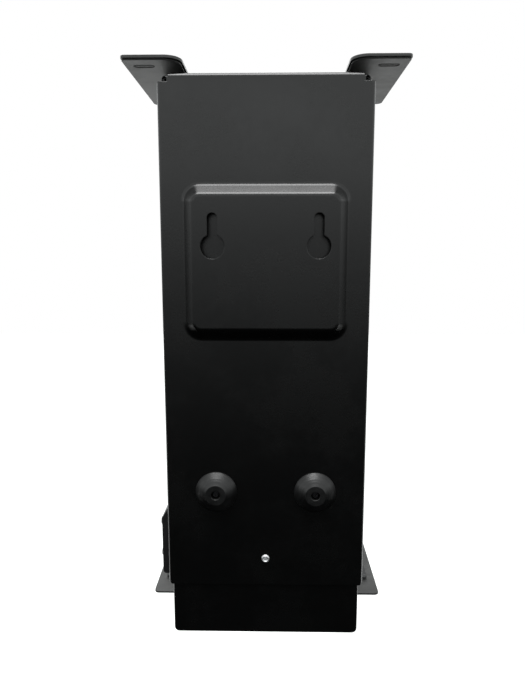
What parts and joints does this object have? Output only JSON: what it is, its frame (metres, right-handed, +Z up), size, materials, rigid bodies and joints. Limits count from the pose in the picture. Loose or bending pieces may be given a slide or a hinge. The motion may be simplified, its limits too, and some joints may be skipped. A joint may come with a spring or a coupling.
{
  "type": "phone charging kiosk",
  "caption": "Slim wall-hung charging cabinet with keyhole pad, rubber bumpers, hinged sign door with cam lock, lead outlets, upper shelf and finned phone shelf.",
  "frame": {"origin": "midway between the heads of the two keyholes, in the plane of the wall", "axes": "+Y into the wall, +Z up, so the front faces -Y"},
  "size_m": [0.2, 0.1767, 0.4417],
  "materials": {
    "black_coat": "satin black powder coat with fine grain",
    "shelf_coat": "satin dark grey powder coat",
    "bumper_rubber": "moulded matt rubber",
    "mat_rubber": "ribbed matt rubber",
    "bushing_rubber": "soft matt grommet",
    "zinc_steel": "zinc plated",
    "bright_rivet": "bright aluminium",
    "nickel_pin": "satin nickel plate",
    "black_screw": "black oxide",
    "inlet_plastic": "fine spark texture",
    "shelf_board": "dark laminate",
    "fascia_plastic": "fine spark texture",
    "button_plastic": "polished",
    "lens": "clear tinted lens",
    "clear_pane": "clear acrylic",
    "divider_acrylic": "clear acrylic with polished edges",
    "card": "blank white card",
    "brass": "plain",
    "supply_metal": "plain aluminium",
    "board_green": "solder mask",
    "chip_black": "moulded packages",
    "lead_sheath": "soft sheath"
  },
  "bodies": {
    "cabinet": {"rear_cover": "black_coat", "chassis": "black_coat", "wall_bumper_left": "bumper_rubber", "wall_bumper_right": "bumper_rubber", "bumper_screws": "black_screw", "bumper_washers": "black_screw", "cover_rivet": "bright_rivet", "inlet_housing": "inlet_plastic", "inlet_pins": "nickel_pin", "inlet_screws": "black_screw", "upper_shelf_plate": "shelf_coat", "upper_shelf_board": "shelf_board", "upper_shelf_screws": "black_screw", "phone_shelf": "shelf_coat", "shelf_mat": "mat_rubber", "shelf_ribs": "shelf_coat", "shelf_screws": "black_screw", "front_frame": "black_coat", "lower_fascia": "fascia_plastic", "fascia_screws": "zinc_steel", "status_lenses": "lens", "button_bezel": "nickel_pin", "outlet_bushing_1": "bushing_rubber", "outlet_bushing_2": "bushing_rubber", "outlet_bushing_3": "bushing_rubber", "outlet_bushing_4": "bushing_rubber", "outlet_bushing_5": "bushing_rubber", "outlet_bushing_6": "bushing_rubber", "divider_1": "divider_acrylic", "divider_2": "divider_acrylic", "divider_3": "divider_acrylic", "divider_4": "divider_acrylic", "divider_5": "divider_acrylic", "divider_6": "divider_acrylic", "divider_7": "divider_acrylic", "hinge_frame_leaves": "zinc_steel", "hinge_pins": "zinc_steel", "power_supply": "supply_metal", "supply_cover": "supply_metal", "terminal_block": "inlet_plastic", "charge_board": "board_green", "board_chips": "chip_black", "charge_sockets": "nickel_pin", "board_standoffs": "brass", "board_screws": "zinc_steel", "inner_leads": "lead_sheath"},
    "door": {"door_panel": "black_coat", "door_window": "clear_pane", "sign_card": "card", "window_retainer": "inlet_plastic", "retainer_screws": "zinc_steel", "door_gasket": "mat_rubber", "hinge_door_leaves": "zinc_steel", "lock_barrel": "nickel_pin", "lock_nut": "nickel_pin"},
    "lock": {"lock_plug": "brass", "lock_cam": "zinc_steel", "cam_screw": "zinc_steel"},
    "button": {"power_button": "button_plastic"}
  },
  "joints": [
    {"name": "door_swing", "type": "hinge", "parent": "cabinet", "child": "door", "pos_m": [-0.0802, -0.0792, 0], "axis": [0, 0, -1], "range_deg": [0, 110]},
    {"name": "lock_turn", "type": "hinge", "parent": "door", "child": "lock", "pos_m": [0.05, -0.085, -0.165], "axis": [0, -1, 0], "range_deg": [0, 90]},
    {"name": "button_press", "type": "slide", "parent": "cabinet", "child": "button", "axis": [0, 1, 0], "range_m": [0, 0.002], "stiffness_N_per_m": 400, "springref_m": -0.001}
  ]
}
